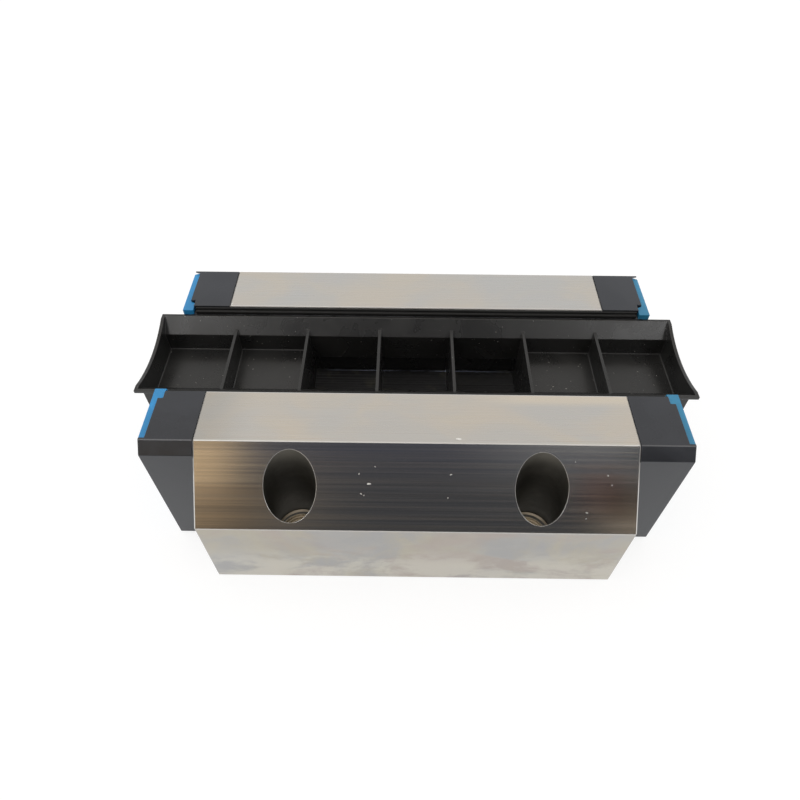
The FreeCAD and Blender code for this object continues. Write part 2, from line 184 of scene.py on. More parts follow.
class RailBearingDetail(bpy.types.PropertyGroup):
    """Sizes of the details that are modelled here."""

    steel_edge: length("Steel edge", 0.35, "Width of the broken edges of the steel")
    hole_edge: length("Hole edge", 0.28, "Width of the broken edges round the fastening holes")
    slot_edge: length("Slot edge", 0.7, "Width of the broken edges along the rail slot")
    plastic_edge: length("Plastic edge", 0.32, "Rounding of the end caps' edges")
    cap_shoulder: length("Cap shoulder", 5.2, "How far the edges to round lie in from a cap's sides")
    tray_floor: length("Tray floor", 54.94, "Height of the floors in the transport rail")
    tray_round: length("Tray round", 0.18, "Rounding of the transport rail's edges")
    floor_round: length("Floor round", 0.6, "Rounding where those floors meet the walls")
    seal_edge: length("Seal edge", 0.2, "Rounding along the side seals")
    wiper_edge: length("Wiper edge", 0.3, "Rounding of the wipers' edges")
    wiper_thickness: length("Wiper thickness", 3.2, "Thickness of a wiper's plate on its seat in the cap")
    wiper_draft: length("Wiper draft", 1.4, "How far a wiper's sides lean in towards its outer face")
    plain_bore: length("Plain bore", 11.5, "Radius of a fastening hole over its thread")
    thread_height: length("Thread height", 21.0, "How far the thread reaches up from the mounting face")
    thread_pitch: length("Thread pitch", 2.5, "Pitch of the thread in the fastening holes")
    thread_depth: length("Thread depth", 0.6, "Depth of the thread")
    thread_lean: length("Thread lean", 0.35, "Height of one leaning side of the thread")
    thread_crest: length("Thread crest", 0.4, "Height of the thread's flat crest")
    bore_point: length("Bore point", 0.55, "Height of the cone that the drill left over the thread")
    thread_steps: IntProperty(
        name="Thread steps", description="Faces round one turn of the thread", default=40, min=12, max=96)
    head_height: length("Head height", 4.0, "Height of a cap screw's head")
    head_round: length("Head round", 0.4, "Rounding of the outer edge of a screw or plug")
    shank_radius: length("Shank radius", 3.0, "Radius of a cap screw's shank")
    socket_radius: length("Socket radius", 2.0, "Half the width over corners of a hexagon socket")
    socket_depth: length("Socket depth", 2.2, "Depth of a hexagon socket")
    roller_radius: length("Roller radius", 3.5, "Radius of a roller")
    roller_length: length("Roller length", 8.6, "Length of a roller")
    roller_round: length("Roller round", 0.35, "Rounding of a roller's ends")
    nick_radius: length("Nick radius", 0.45, "Mean radius of a nick")


class RailBearingStage(bpy.types.PropertyGroup):
    """Camera, floor and light."""

    camera_place: spot("Camera place", (-5.25 * MM, -212.4 * MM, 293.42 * MM), "Where the camera stands")
    camera_turn: FloatVectorProperty(
        name="Camera turn", description="Turn of the camera about X, Y and Z", subtype="EULER",
        default=(math.radians(39.505), math.radians(-0.208), math.radians(0.708)))
    focal_pixels: number("Focal length", 616.9, "Focal length in pixels of the square image")
    centre_pixel: number("Image centre", 401.6, "Pixel across at which the camera's axis meets the image")
    floor: colour("Floor", (0.90, 0.90, 0.90), "Pale floor")
    white: number("White", 1.1, "Brightness of the floor's own white")
    seen_white: number("White seen", 0.75, "Share of that white that the camera sees")
    gloss_white: number("White mirrored", 0.58, "Share of that white that shiny surfaces mirror")
    room: number("Room light", 0.90, "Brightness of the pale room")
    shade: number("Shaded side", 0.093, "Brightness of the room by the camera")
    shade_width: length("Shade width", 370.0, "Half the width of the room's shaded side, at one metre away")
    haze: number("Haze", 0.30, "Brightness to the right of the shaded side")
    soft_box: number("Soft boxes", 5.6, "Brightness of the soft boxes left and right of the camera")
    warm: colour("Warm corner", (1.17, 0.92, 0.62), "Warm light left of the room's shaded side", highest=2.0)
    recess_left: colour("Left recess", (0.28, 0.23, 0.17), "What the left cap's slope mirrors")
    recess_right: colour("Right recess", (0.08, 0.08, 0.07), "What the right cap's slope mirrors")
    lamp: number("Soft lamp", 1.5, "Power of the soft lamp over the block", unit="POWER")
    lamp_size: length("Lamp size", 900.0, "Width of the soft lamp")
    lamp_place: spot("Lamp place", (-0.45, -0.15, 1.1), "Where the soft lamp hangs")
    lamp_aim: spot("Lamp aim", (0.0, 0.0, 0.05), "Where the soft lamp points")


def settings(context):
    """The finishes and the sizes of the details."""
    return context.scene.rail_bearing_finish, context.scene.rail_bearing_detail


def select_only(*pieces):
    """Select these pieces and make the first one active."""
    bpy.ops.object.select_all(action="DESELECT")
    for piece in pieces:
        piece.select_set(True)
    bpy.context.view_layer.objects.active = pieces[0]


def pick(piece, kind, test):
    """Enter edit mode with just those faces, edges or corners selected that pass a test."""
    select_only(piece)
    bpy.ops.object.mode_set(mode="EDIT")
    bpy.ops.mesh.select_mode(type=kind)
    bpy.ops.mesh.select_all(action="DESELECT")
    mesh = bmesh.from_edit_mesh(piece.data)
    parts = {"FACE": mesh.faces, "EDGE": mesh.edges, "VERT": mesh.verts}[kind]
    for part in parts:
        part.select_set(test(part))
    bmesh.update_edit_mesh(piece.data)


def edit_all():
    """Enter edit mode with all of the active piece selected."""
    bpy.ops.object.mode_set(mode="EDIT")
    bpy.ops.mesh.select_all(action="SELECT")


def leave():
    """Go back from edit mode."""
    bpy.ops.object.mode_set(mode="OBJECT")


def fresh(add_shape, **sizes):
    """A new simple shape, as the only piece selected."""
    bpy.ops.object.select_all(action="DESELECT")
    add_shape(**sizes)
    return bpy.context.active_object


def middle(edge):
    """Point halfway along an edge."""
    return (edge.verts[0].co + edge.verts[1].co) / 2


def is_sharp(edge):
    """Whether the two faces at an edge meet at a corner that shows."""
    return len(edge.link_faces) == 2 and edge.calc_face_angle(0) > SHARP


def whole_copy(node, name):
    """A CAD node's mesh as a new piece, with its loose triangles joined into whole faces."""
    piece = bpy.data.objects.new(name, NODES[node].data.copy())
    piece.data.materials.clear()
    bpy.context.scene.collection.objects.link(piece)
    select_only(piece)
    bpy.ops.mesh.customdata_custom_splitnormals_clear()
    edit_all()
    bpy.ops.mesh.remove_doubles(threshold=MERGE)
    bpy.ops.mesh.dissolve_limited(angle_limit=FLAT)
    leave()
    return piece


def smooth(piece):
    """Smooth shading that keeps flat faces flat beside rounded edges."""
    select_only(piece)
    bpy.ops.object.shade_smooth_by_angle(angle=SOFT)
    level = piece.modifiers.new("Flat faces", "WEIGHTED_NORMAL")
    level.keep_sharp = True
    bpy.ops.object.modifier_apply(modifier=level.name)


def round_edges(piece, width, test, segments=2, wears_and_shines=True):
    """Round those sharp edges of a piece that pass a test, and where asked mark the new narrow faces as rubbed
    edges, which are painted lighter as wear and as a painted highlight.
    """
    pick(piece, "EDGE", lambda edge: is_sharp(edge) and test(edge))
    bpy.ops.mesh.bevel(
        offset=width, offset_type="OFFSET", segments=segments, affect="EDGES", clamp_overlap=False)
    if wears_and_shines:
        # The bevel also leaves wide faces selected, where all their edges were rounded.
        mark_worn_and_lit(piece, lambda face: face.select and face.calc_area() < 0.8 * width * face.calc_perimeter())
    leave()


def mark_worn_and_lit(piece, test):
    """In edit mode, mark those faces that pass a test as rubbed edges, painted lighter as wear and as a painted
    highlight.
    """
    mesh = bmesh.from_edit_mesh(piece.data)
    layer = mesh.faces.layers.float.get(WORN_AND_LIT) or mesh.faces.layers.float.new(WORN_AND_LIT)
    for face in mesh.faces:
        if test(face):
            face[layer] = 1.0
    bmesh.update_edit_mesh(piece.data)


def mark_facing(piece):
    """Keep the way each face looks as an attribute, for a finish that changes with it."""
    layer = piece.data.attributes.new(FACING, "FLOAT_VECTOR", "FACE")
    for face, kept in zip(piece.data.polygons, layer.data):
        kept.vector = face.normal


def islands(node):
    """Low and high corner of each separate solid of a CAD node."""
    whole_copy(node, "Islands")
    edit_all()
    bpy.ops.mesh.separate(type="LOOSE")
    leave()
    boxes = []
    for part in list(bpy.context.selected_objects):
        places = [v.co for v in part.data.vertices]
        low = Vector(min(p[i] for p in places) for i in range(3))
        high = Vector(max(p[i] for p in places) for i in range(3))
        boxes.append((low, high))
        bpy.data.objects.remove(part)
    return boxes


def copies(model, name, places):
    """One piece made of a modelled shape at each place, each with its own mesh; the model goes."""
    made = []
    for place in places:
        part = bpy.data.objects.new(name, model.data.copy())
        part.data.transform(place)
        bpy.context.scene.collection.objects.link(part)
        made.append(part)
    bpy.data.objects.remove(model)
    select_only(*made)
    if len(made) > 1:
        bpy.ops.object.join()
    piece = bpy.context.view_layer.objects.active
    piece.name = name
    return piece


def dress(piece, material, body=RUNNER, node=None):
    """Finish a piece: give it its material and its body, and hide the CAD node that it stands for."""
    piece.data.materials.clear()
    piece.data.materials.append(material)
    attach(piece, body)
    if node:
        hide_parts(node)


def repaint(node, material):
    """Give a CAD node that keeps its shape a better material."""
    slots = NODES[node].data.materials
    slots.clear()
    slots.append(material)


# Material building blocks


def add(tree, kind, inputs=None, **options):
    """Add a shader node, set it up and link or set its inputs."""
    made = tree.nodes.new(kind)
    for key, value in options.items():
        setattr(made, key, value)
    for socket, value in (inputs or {}).items():
        if isinstance(value, bpy.types.NodeSocket):
            tree.links.new(value, made.inputs[socket])
        else:
            made.inputs[socket].default_value = value
    return made


def new_material(name):
    """A material with its node tree and its shader."""
    material = bpy.data.materials.new(name)
    material.use_nodes = True
    return material, material.node_tree, material.node_tree.nodes["Principled BSDF"]


def split(tree, vector):
    """A vector's X, Y and Z."""
    return add(tree, "ShaderNodeSeparateXYZ", {"Vector": vector}).outputs


def over(tree, kind):
    """Coordinates of one kind, split into X, Y and Z."""
    return split(tree, add(tree, "ShaderNodeTexCoord").outputs[kind])


def noise(tree, stretch, detail=3.0, roughness=0.5, distortion=0.0):
    """Noise over Object coordinates, with its own scale along each axis."""
    where = add(tree, "ShaderNodeTexCoord").outputs["Object"]
    stretched = add(tree, "ShaderNodeMapping", {"Vector": where, "Scale": stretch})
    made = add(tree, "ShaderNodeTexNoise", {
        "Vector": stretched.outputs["Vector"], "Scale": 1.0, "Detail": detail,
        "Roughness": roughness, "Distortion": distortion})
    return made.outputs["Fac"]


def span(tree, value, low, high, to_low=0.0, to_high=1.0):
    """Smooth step of a value from one range to another."""
    made = add(tree, "ShaderNodeMapRange", {
        "Value": value, "From Min": low, "From Max": high, "To Min": to_low, "To Max": to_high},
        interpolation_type="SMOOTHSTEP")
    return made.outputs["Result"]


def maths(tree, operation, first, second=0.0, third=0.0):
    """One step of arithmetic with sockets or numbers."""
    return add(tree, "ShaderNodeMath", {0: first, 1: second, 2: third}, operation=operation).outputs["Value"]


def inverse(tree, share):
    """What a share leaves of one."""
    return maths(tree, "SUBTRACT", 1.0, share)


def largest(tree, first, *others):
    """The largest of several values."""
    for other in others:
        first = maths(tree, "MAXIMUM", first, other)
    return first


def product(tree, first, *others):
    """All values multiplied."""
    for other in others:
        first = maths(tree, "MULTIPLY", first, other)
    return first


def patch(tree, *bounds):
    """Product of masks, each one a socket, or a value with the range in which the mask comes up."""
    masks = [bound if isinstance(bound, bpy.types.NodeSocket) else span(tree, *bound) for bound in bounds]
    return product(tree, *masks)


def within(tree, value, low, high):
    """One where a value lies between two bounds, and nothing elsewhere."""
    return maths(tree, "COMPARE", value, (low + high) / 2, (high - low) / 2)


def scaled(base, share):
    """A colour made darker or lighter."""
    return tuple(c * share for c in base)


def grey(value):
    """A colour of three like channels."""
    return value, value, value


def blend(tree, share, first, second, kind="MIX"):
    """One colour laid over another, each a socket or three numbers."""
    made = add(tree, "ShaderNodeMix", data_type="RGBA", blend_type=kind)
    for index, value in ((0, share), (6, first), (7, second)):
        if isinstance(value, bpy.types.NodeSocket):
            tree.links.new(value, made.inputs[index])
        else:
            made.inputs[index].default_value = value if index == 0 else (*value, 1.0)
    return made.outputs[2]


def bump(tree, shader, height, strength, distance):
    """Fine relief on a shader."""
    made = add(tree, "ShaderNodeBump", {"Height": height, "Strength": strength, "Distance": distance})
    tree.links.new(made.outputs["Normal"], shader.inputs["Normal"])


def worn_and_lit_edges(tree):
    """One on the rubbed edges of a piece, which are painted lighter as wear and as a painted highlight, and
    nothing elsewhere.
    """
    return add(tree, "ShaderNodeAttribute", attribute_name=WORN_AND_LIT).outputs["Fac"]


def hole_distance(tree, place):
    """Distance of a point from the axis of the nearest fastening hole."""
    across = maths(tree, "SUBTRACT", maths(tree, "ABSOLUTE", place["X"]), HOLE_X)
    along = maths(tree, "SUBTRACT", maths(tree, "ABSOLUTE", place["Y"]), HOLE_Y)
    both = add(tree, "ShaderNodeCombineXYZ", {"X": across, "Y": along}).outputs["Vector"]
    return add(tree, "ShaderNodeVectorMath", {0: both}, operation="LENGTH").outputs["Value"]


def ground_steel(finish, detail):
    """Ground steel: lines along the flanks, stained sides, bright edges, dark bores and an oiled slot, with
    painted reflections, shade and highlights.
    """
    material, tree, shader = new_material("Ground steel")
    # Places along, across and up are in metres.
    place = over(tree, "Object")
    x, y, z = (place[axis] for axis in "XYZ")
    facing = split(tree, add(tree, "ShaderNodeAttribute", attribute_name=FACING).outputs["Vector"])
    level = span(tree, facing["Z"], 0.80, 0.92)
    upright = span(tree, maths(tree, "ABSOLUTE", facing["Y"]), 0.90, 0.97)
    end = span(tree, maths(tree, "ABSOLUTE", facing["X"]), 0.90, 0.97)
    distance = hole_distance(tree, place)
    hole = span(tree, distance, detail.plain_bore + 0.06 * MM, detail.plain_bore + 0.02 * MM)
    slanted = inverse(tree, largest(tree, level, upright, hole, end))
    near_top = patch(tree, level, (y, 0.0, -0.01))
    near_slant = patch(tree, slanted, (facing["Y"], -0.4, -0.6))
    wall = product(tree, hole, inverse(tree, level))
    slot = product(tree, within(tree, y, -0.036, 0.036), within(tree, z, 0.005, STEEL_HIGH.z - 0.9 * MM))
    # The rims of the holes, painted bright as wear and as a painted highlight, are fainter towards the top.
    faint = patch(
        tree, (distance, detail.plain_bore + 1.2 * MM, detail.plain_bore + 0.9 * MM),
        (z, 0.060, 0.071, 0.25, 0.75))
    worn_and_lit = product(tree, worn_and_lit_edges(tree), inverse(tree, faint))

    lines = noise(tree, (4, 850, 850), detail=3, roughness=0.6)
    streaks = noise(tree, (5, 340, 340), detail=4, roughness=0.6)
    ground = maths(tree, "ADD", lines, streaks)
    clouds = noise(tree, (22, 30, 40), detail=3, distortion=0.8)
    stains = noise(tree, (40, 40, 30), detail=5, roughness=0.6, distortion=0.3)
    blooms = noise(tree, (34, 34, 52), detail=6, roughness=0.62, distortion=0.25)

    # Tops of the legs
    paint = blend(tree, span(tree, clouds, 0.34, 0.66), finish.steel_cool, finish.steel_warm)
    # Painted shade: the left end of the near leg's top is darkened.
    painted_end_shade = patch(tree, near_top, (x, -0.070, -0.097))
    paint = blend(tree, painted_end_shade, paint, finish.painted_end_shade, "MULTIPLY")
    # A painted yellowish sheen along the near leg's top by the slot.
    straw_sheen = patch(tree, near_top, (y, -0.037, -0.032), (x, 0.02, 0.055))
    paint = blend(tree, straw_sheen, paint, finish.straw_sheen)

    # Upright sides
    stained = blend(tree, span(tree, stains, 0.36, 0.64), finish.stain_blue, finish.stain_straw)
    stained = blend(tree, span(tree, clouds, 0.46, 0.62, 0.0, 0.8), stained, finish.stain_rose)
    # Pale patches, strongest low down: partly bloom, partly a painted sheen that lightens the bottom of the
    # sides.
    bloom_and_low_sheen_mask = patch(tree, (blooms, 0.40, 0.58), (z, 0.034, 0.012, 0.1, 0.8))
    stained = blend(tree, bloom_and_low_sheen_mask, stained, finish.bloom_and_low_sheen)
    paint = blend(tree, upright, paint, stained)

    # Slanted flanks
    flank = blend(tree, span(tree, ground, 0.8, 1.25), finish.flank_cool, finish.flank_warm)
    paint = blend(tree, slanted, paint, flank)
    # Golden band on the flank's left end, brighter above a level line: partly an oil film, partly a painted warm
    # reflection.
    film_and_reflection = patch(
        tree, near_slant, (x, -0.060, -0.090, 0.0, 0.8), (z, 0.058, 0.066, 0.5, 1.0),
        (ground, 0.7, 1.1, 0.6, 1.0))
    paint = blend(tree, film_and_reflection, paint, finish.gold_film_and_reflection)
    # Darker under the golden band: partly a brown film, partly painted shade that sharpens the band's lower
    # edge.
    brown_film_and_shade = patch(tree, near_slant, (x, -0.050, -0.080), (z, 0.064, 0.0605))
    paint = blend(tree, brown_film_and_shade, paint, finish.brown_film_and_shade, "MULTIPLY")
    rust = patch(
        tree, near_slant, (x, 0.060, 0.080), (x, 0.100, 0.082), (z, 0.049, 0.061), (z, 0.074, 0.063),
        (streaks, 0.30, 0.55, 0.5, 1.0))
    paint = blend(tree, rust, paint, finish.rust, "MULTIPLY")
    # Darker at the foot of the flank's right end.
    darker_foot = patch(tree, near_slant, (x, 0.076, 0.090), (z, 0.0515, 0.0545), (z, 0.066, 0.060))
    paint = blend(tree, darker_foot, paint, finish.darker_foot, "MULTIPLY")
    depth = patch(tree, (lines, 0.30, 0.66, 1.0, 0.0), (slanted, 0.0, 1.0, 0.01, 0.26))
    paint = blend(tree, depth, paint, finish.groove, "MULTIPLY")
    # Rounded edges and end chamfers are painted bright: partly wear, partly a painted highlight.
    paint = blend(tree, worn_and_lit, paint, finish.edge)

    # Holes and slot
    # Bore walls painted dark, partly oil and partly painted shade, and painted lighter near the top where light
    # falls in.
    oiled_and_shaded_wall = blend(tree, span(tree, blooms, 0.40, 0.62), finish.bore, scaled(finish.bore, 1.35))
    oiled_and_shaded_wall = blend(tree, span(tree, z, 0.062, 0.072), oiled_and_shaded_wall, scaled(finish.bore, 2.2))
    paint = blend(tree, wall, paint, oiled_and_shaded_wall)
    # The shoulder over each thread is painted gold: a painted highlight ring.
    paint = blend(tree, product(tree, hole, level), paint, scaled(finish.thread, 0.7))
    oiled = blend(tree, span(tree, blooms, 0.48, 0.66), finish.slot, finish.slot_dirt)
    lit = patch(tree, within(tree, maths(tree, "ABSOLUTE", y), 0.0249, 0.0257), (clouds, 0.42, 0.60))
    oiled = blend(tree, lit, oiled, finish.slot_line)
    paint = blend(tree, slot, paint, oiled)
    tree.links.new(paint, shader.inputs["Base Color"])

    # Shine and relief
    # Less metal on those painted-bright edges, so that their highlight shows from every side.
    metal = maths(tree, "MULTIPLY_ADD", worn_and_lit, -0.6, 1.0)
    tree.links.new(product(tree, metal, inverse(tree, slot)), shader.inputs["Metallic"])
    rough = span(tree, ground, 0.7, 1.3, 0.13, 0.19)
    rough = maths(tree, "MULTIPLY_ADD", level, 0.12, rough)
    rough = maths(tree, "MULTIPLY_ADD", wall, 0.42, rough)
    tree.links.new(rough, shader.inputs["Roughness"])
    height = patch(tree, lines, (slanted, 0.0, 1.0, 0.01, 1.0))
    bump(tree, shader, height, 0.06, 0.00004)
    return material


def moulded_plastic(
        name, base, grain=3200.0, roughness=(0.42, 0.58), gloss=1.5, tint=(1, 1, 1), worn_and_lit=None, dust_and_sheen=None):
    """Moulded plastic: fine grain and faint mottling, and where asked for rubbed edges with a painted highlight,
    specks of dust and lighter smears that are partly scuffs and partly a painted sheen.
    """
    material, tree, shader = new_material(name)
    fine = noise(tree, (grain,) * 3, detail=2)
    patches = noise(tree, (45, 45, 45), detail=4, distortion=0.6)
    paler = tuple(min(1.0, c * 1.3 + 0.002) for c in base)
    painted = blend(tree, span(tree, patches, 0.35, 0.70), tuple(base), paler)
    # Rubbed edges painted lighter: partly wear, partly a painted highlight.
    if worn_and_lit:
        painted = blend(tree, worn_and_lit_edges(tree), painted, worn_and_lit)
    if dust_and_sheen:
        # Lighter smears, partly scuffs and partly a painted sheen, then specks of dust.
        scuffs_and_sheen = noise(tree, (26, 26, 26), detail=3, distortion=1.0)
        painted = blend(tree, span(tree, scuffs_and_sheen, 0.52, 0.72, 0.0, 0.03), painted, dust_and_sheen)
        specks = span(tree, noise(tree, (900, 900, 900), detail=1), 0.765, 0.80)
        painted = blend(tree, specks, painted, dust_and_sheen)
    tree.links.new(painted, shader.inputs["Base Color"])
    tree.links.new(span(tree, patches, 0.30, 0.75, *roughness), shader.inputs["Roughness"])
    shader.inputs["IOR"].default_value = gloss
    shader.inputs["Specular Tint"].default_value = (*tint, 1.0)
    bump(tree, shader, fine, 0.1, 0.00003)
    return material


def bare_metal(name, base, roughness, grain):
    """Plain metal with fine turned or rolled grain."""
    material, tree, shader = new_material(name)
    fine = noise(tree, grain, detail=3)
    painted = blend(tree, span(tree, fine, 0.3, 0.7), scaled(base, 0.72), tuple(base))
    tree.links.new(painted, shader.inputs["Base Color"])
    tree.links.new(span(tree, fine, 0.3, 0.7, roughness, roughness + 0.12), shader.inputs["Roughness"])
    shader.inputs["Metallic"].default_value = 1.0
    bump(tree, shader, fine, 0.2, 0.00003)
    return material


# Pieces


class RAILBEARING_OT_steel_block(bpy.types.Operator):
    """Steel body with broken edges and ground faces"""

    bl_idname = "rail_bearing.steel_block"
    bl_label = "Steel block"

    def execute(self, context):
        finish, detail = settings(context)
        margin, close = 2 * MM, 0.05 * MM
        leg_outer = STEEL_HIGH.y - FLANK_RUN - margin
        end = STEEL_HIGH.x - margin

        def end_chamfer(face):
            return 0.3 < abs(face.normal.x) < 0.9 and abs(face.calc_center_median().x) > end

        def is_long(edge):
            return edge.calc_length() > 100 * MM and middle(edge).z > 30 * MM

        def by_the_slot(edge):
            place = middle(edge)
            return is_long(edge) and place.z > STEEL_HIGH.z - 0.1 * MM and abs(place.y) < leg_outer

        def outside(edge):
            return is_long(edge) and abs(middle(edge).y) > leg_outer

        def hole_rim(edge):
            place = middle(edge)
            return abs(place.x) < end and place.z > FLANK_FOOT and abs(place.y) > leg_outer and not is_long(edge)

        def shoulder(face):
            return face.normal.z > 0.9 and abs(face.calc_center_median().z - detail.thread_height) < close

        def over_the_thread(corner):
            place = corner.co
            reach = math.hypot(abs(place.x) - HOLE_X, abs(place.y) - HOLE_Y)
            level = abs(place.z - detail.thread_height) < close
            return level and abs(reach - detail.plain_bore) < 0.1 * MM

        piece = whole_copy("runner_block", "steel_block")
        # The legs' end chamfers are marked as rubbed edges, so they are painted bright: a painted highlight.
        pick(piece, "FACE", end_chamfer)
        mark_worn_and_lit(piece, lambda face: face.select)
        leave()
        round_edges(piece, detail.slot_edge, by_the_slot)
        round_edges(piece, detail.steel_edge, outside)
        round_edges(piece, detail.hole_edge, hole_rim)
        pick(piece, "FACE", shoulder)
        bpy.ops.mesh.quads_convert_to_tris(quad_method="BEAUTY", ngon_method="BEAUTY")
        leave()
        pick(piece, "VERT", over_the_thread)
        bpy.ops.transform.translate(value=(0, 0, detail.bore_point))
        leave()
        smooth(piece)
        mark_facing(piece)
        dress(piece, ground_steel(finish, detail), node="runner_block")
        return {"FINISHED"}


class RAILBEARING_OT_threads(bpy.types.Operator):
    """Thread in the core bore of each fastening hole"""

    bl_idname = "rail_bearing.threads"
    bl_label = "Threads"

    def execute(self, context):
        finish, detail = settings(context)
        # The thread stays clear of the bore's wall, of the mounting face and of the cone over it.
        wall_gap, foot_gap, top_gap = 0.02 * MM, 2 * MM, 0.3 * MM
        turns = int((detail.thread_height - foot_gap) / detail.thread_pitch) - 1
        start = detail.thread_height - top_gap - (turns + 1) * detail.thread_pitch
        model = fresh(bpy.ops.mesh.primitive_plane_add, size=MM)
        edit_all()
        bpy.ops.mesh.merge(type="CENTER")
        bpy.ops.transform.translate(value=(THREAD_BORE - wall_gap, 0, start))
        depth, lean = detail.thread_depth, detail.thread_lean
        rest = detail.thread_pitch - detail.thread_crest - 2 * lean
        for step in [(-depth, 0, lean), (0, 0, detail.thread_crest), (depth, 0, lean), (0, 0, rest)]:
            bpy.ops.mesh.extrude_region_move(TRANSFORM_OT_translate={"value": step})
        leave()
        winding = model.modifiers.new("Thread", "SCREW")
        winding.axis = "Z"
        winding.screw_offset = detail.thread_pitch
        winding.iterations = turns
        winding.steps = detail.thread_steps
        winding.render_steps = detail.thread_steps
        winding.use_merge_vertices = True
        bpy.ops.object.modifier_apply(modifier=winding.name)
        edit_all()
        bpy.ops.mesh.remove_doubles(threshold=MERGE)
        leave()
        places = [Matrix.Translation((x, y, 0)) for x in (-HOLE_X, HOLE_X) for y in (-HOLE_Y, HOLE_Y)]
        piece = copies(model, "fastening_threads", places)
        bpy.ops.object.shade_smooth_by_angle(angle=SOFT_THREAD)
        # Its gold is partly a painted warm reflection.
        metal = bare_metal("Cut thread", finish.thread, 0.26, (900, 900, 2400))
        dress(piece, metal)
        return {"FINISHED"}


class RAILBEARING_OT_nicks(bpy.types.Operator):
    """Small pale nicks on the near flank and the legs, and one painted glint at the far leg's corner"""

    bl_idname = "rail_bearing.nicks"
    bl_label = "Nicks"

    def execute(self, context):
        finish, detail = settings(context)
        radius = detail.nick_radius
        model = fresh(bpy.ops.mesh.primitive_ico_sphere_add, subdivisions=2, radius=radius)
        edit_all()
        bpy.ops.transform.vertex_random(offset=radius * 0.3, seed=7)
        bpy.ops.transform.resize(value=(1.1, 0.45, 0.08))
        leave()
        places = []
        for index, (x, y, size) in enumerate(NICKS_AND_GLINT):
            drop = max(0.0, abs(y) * MM - STEEL_HIGH.y + FLANK_RUN)
            spin = Matrix.Rotation(index * 1.3, 4, "Z")
            grow = Matrix.Scale(size, 4)
            lie = Matrix.Rotation(LEAN if drop else 0.0, 4, "X")
            places.append(Matrix.Translation((x * MM, y * MM, STEEL_HIGH.z - drop)) @ lie @ spin @ grow)
        piece = copies(model, "flank_nicks_and_glint", places)
        # The painted glint at the far leg's corner shares this material.
        metal = bare_metal("Knocked metal", finish.nick_and_glint, 0.5, (3000, 3000, 3000))
        dress(piece, metal)
        return {"FINISHED"}


class RAILBEARING_OT_end_caps(bpy.types.Operator):
    """Two moulded end caps with rounded edges"""

    bl_idname = "rail_bearing.end_caps"
    bl_label = "End caps"

    def execute(self, context):
        finish, detail = settings(context)
        close = 0.2 * MM
        plastic = moulded_plastic(
            "Cap plastic", finish.cap, roughness=(0.20, 0.27), gloss=1.58, tint=(0.90, 0.94, 1.0),
            worn_and_lit=finish.cap_rub_and_sheen)
        for end in ("left", "right"):
            node = f"end_cap_{end}"
            low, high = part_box(node)
            shoulder = high.y - detail.cap_shoulder

            def along_the_shoulder(edge):
                place = middle(edge)
                lengthwise = abs(edge.verts[0].co.x - edge.verts[1].co.x) > 10 * MM
                return lengthwise and place.z > high.z - close and abs(place.y) > shoulder

            def shows(edge):
                place = middle(edge)
                outer = abs(place.y) > shoulder or place.z > high.z - close or place.z < low.z + close
                return outer and edge.calc_length() > 1.5 * MM

            piece = whole_copy(node, f"moulded_cap_{end}")
            # The shoulder edges get the lighter rubbed-edge colour: partly rubbing, partly a painted highlight.
            round_edges(piece, detail.plastic_edge, along_the_shoulder)
            round_edges(piece, detail.plastic_edge, shows, wears_and_shines=False)
            smooth(piece)
            dress(piece, plastic, node=node)
        return {"FINISHED"}


class RAILBEARING_OT_wipers(bpy.types.Operator):
    """Two blue wipers, the right one painted darker as shade"""

    bl_idname = "rail_bearing.wipers"
    bl_label = "Wipers"

    def execute(self, context):
        finish, detail = settings(context)
        close = 0.05 * MM
        top_reach, inner_reach, shortest = 4.5 * MM, 36 * MM, 3.5 * MM
        for end, blue in (("left", finish.wiper_left), ("right", finish.wiper_right)):
            node = f"wiper_{end}"
            low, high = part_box(node)
            face = max(abs(low.x), abs(high.x))
            seat = face - detail.wiper_thickness

            def outer_corner(corner, side):
                reach = corner.co.y * side
                at_the_top = corner.co.z > high.z - close and reach > high.y - top_reach
                return abs(corner.co.x) > face - close and (at_the_top or reach > high.y - close)

            def shows(edge):
                place = middle(edge)
                on_the_seat = all(abs(abs(corner.co.x) - seat) < close for corner in edge.verts)
                inner = place.z > high.z - close or abs(place.y) < inner_reach
                return inner and not on_the_seat and edge.calc_length() > shortest

            rubber = moulded_plastic(f"Wiper {end}", blue, grain=2200.0, roughness=(0.36, 0.50))
            piece = whole_copy(node, f"blue_wiper_{end}")
            for side in (-1, 1):
                pick(piece, "VERT", lambda corner: outer_corner(corner, side))
                bpy.ops.transform.translate(value=(0, -side * detail.wiper_draft, 0))
                leave()
            round_edges(piece, detail.wiper_edge, shows)
            smooth(piece)
            dress(piece, rubber, node=node)
        return {"FINISHED"}


class RAILBEARING_OT_transport_rail(bpy.types.Operator):
    """Moulded tray that stands in for the rail"""

    bl_idname = "rail_bearing.transport_rail"
    bl_label = "Transport rail"

    def execute(self, context):
        finish, detail = settings(context)

        def floor_edge(edge):
            return abs(middle(edge).z - detail.tray_floor) < 0.3 * MM and edge.calc_length() > 10 * MM

        piece = whole_copy("transport_rail", "moulded_tray")
        # The feet of the walls are rounded and marked as rubbed edges, which paints a highlight along them.
        round_edges(piece, detail.floor_round, floor_edge, segments=4)
        round_edges(piece, detail.tray_round, lambda edge: edge.calc_length() > 1.2 * MM)
        smooth(piece)
        plastic = moulded_plastic(
            "Tray plastic", finish.tray, grain=2600.0, roughness=(0.24, 0.34), worn_and_lit=finish.tray_rub_and_sheen,
            dust_and_sheen=finish.dust_and_sheen)
        dress(piece, plastic, body=TRAY, node="transport_rail")
        return {"FINISHED"}


